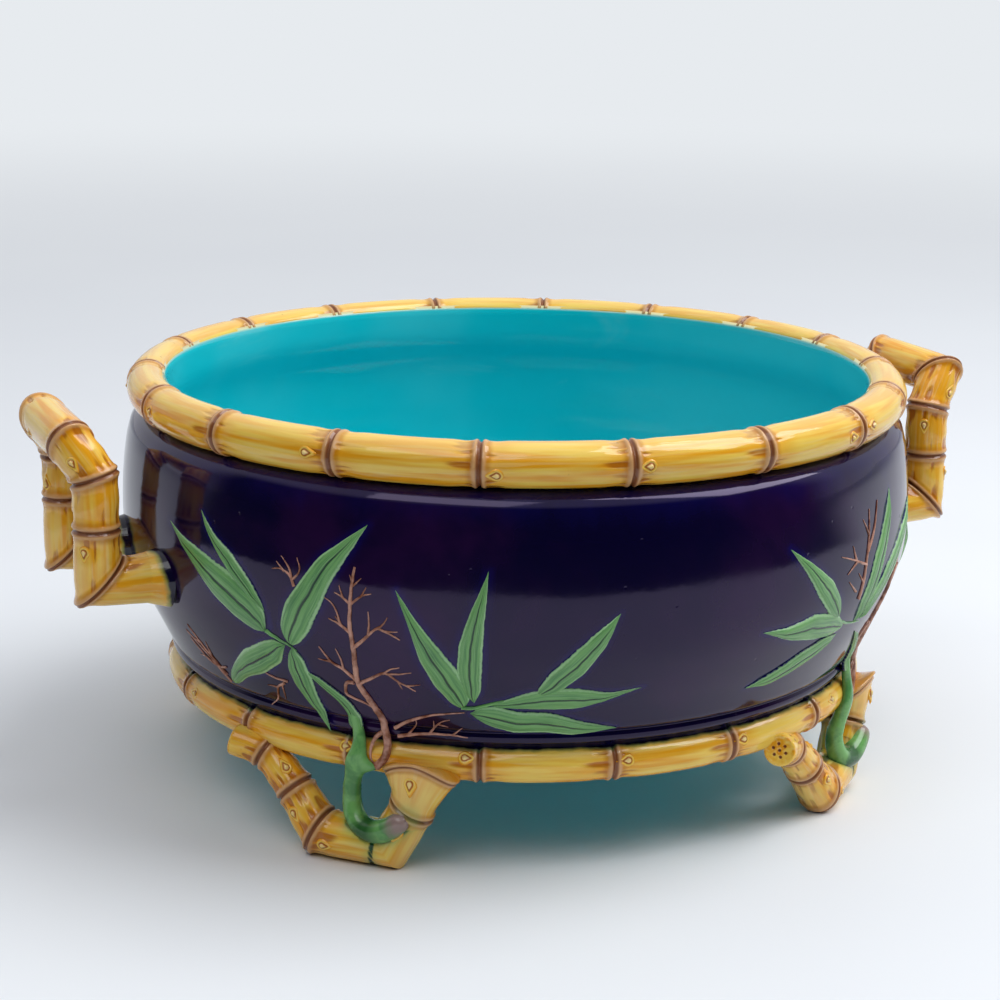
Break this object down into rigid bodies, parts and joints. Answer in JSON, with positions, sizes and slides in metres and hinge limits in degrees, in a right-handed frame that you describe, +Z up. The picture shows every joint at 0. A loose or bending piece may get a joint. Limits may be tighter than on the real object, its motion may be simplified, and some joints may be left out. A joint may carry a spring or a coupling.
{
  "type": "jardiniere",
  "caption": "Round glazed earthenware planter with a bamboo-pole rim, base ring, mitred pole handles and feet, and raised leaves, twigs and green shoots on a dark blue wall.",
  "frame": {"origin": "on the floor plane under the centre of the bowl", "axes": "+Z up along the bowl's axis, +X through the right handle, -Y towards the front"},
  "size_m": [0.4174, 0.3368, 0.1745],
  "materials": {
    "cobalt_glaze": "high gloss lead glaze, near-black blue outside and turquoise inside",
    "bamboo_glaze": "high gloss straw and ochre glaze with brown nodes",
    "leaf_glaze": "high gloss green glaze with dark veins",
    "shoot_glaze": "high gloss green glaze, darker where it pools",
    "twig_glaze": "gloss pinkish brown glaze"
  },
  "bodies": {
    "root": {"bowl": "cobalt_glaze", "rim_bamboo": "bamboo_glaze", "base_ring": "bamboo_glaze", "handle_right": "bamboo_glaze", "handle_left": "bamboo_glaze", "foot_front_left": "bamboo_glaze", "shoot_front_left": "shoot_glaze", "leaf_sprig_front_left_a": "leaf_glaze", "leaf_sprig_front_left_b": "leaf_glaze", "twigs_front_left": "twig_glaze", "foot_front_right": "bamboo_glaze", "shoot_front_right": "shoot_glaze", "leaf_sprig_front_right_a": "leaf_glaze", "leaf_sprig_front_right_b": "leaf_glaze", "twigs_front_right": "twig_glaze", "foot_back_right": "bamboo_glaze", "shoot_back_right": "shoot_glaze", "leaf_sprig_back_right_a": "leaf_glaze", "leaf_sprig_back_right_b": "leaf_glaze", "twigs_back_right": "twig_glaze", "foot_back_left": "bamboo_glaze", "shoot_back_left": "shoot_glaze", "leaf_sprig_back_left_a": "leaf_glaze", "leaf_sprig_back_left_b": "leaf_glaze", "twigs_back_left": "twig_glaze"}
  },
  "joints": []
}
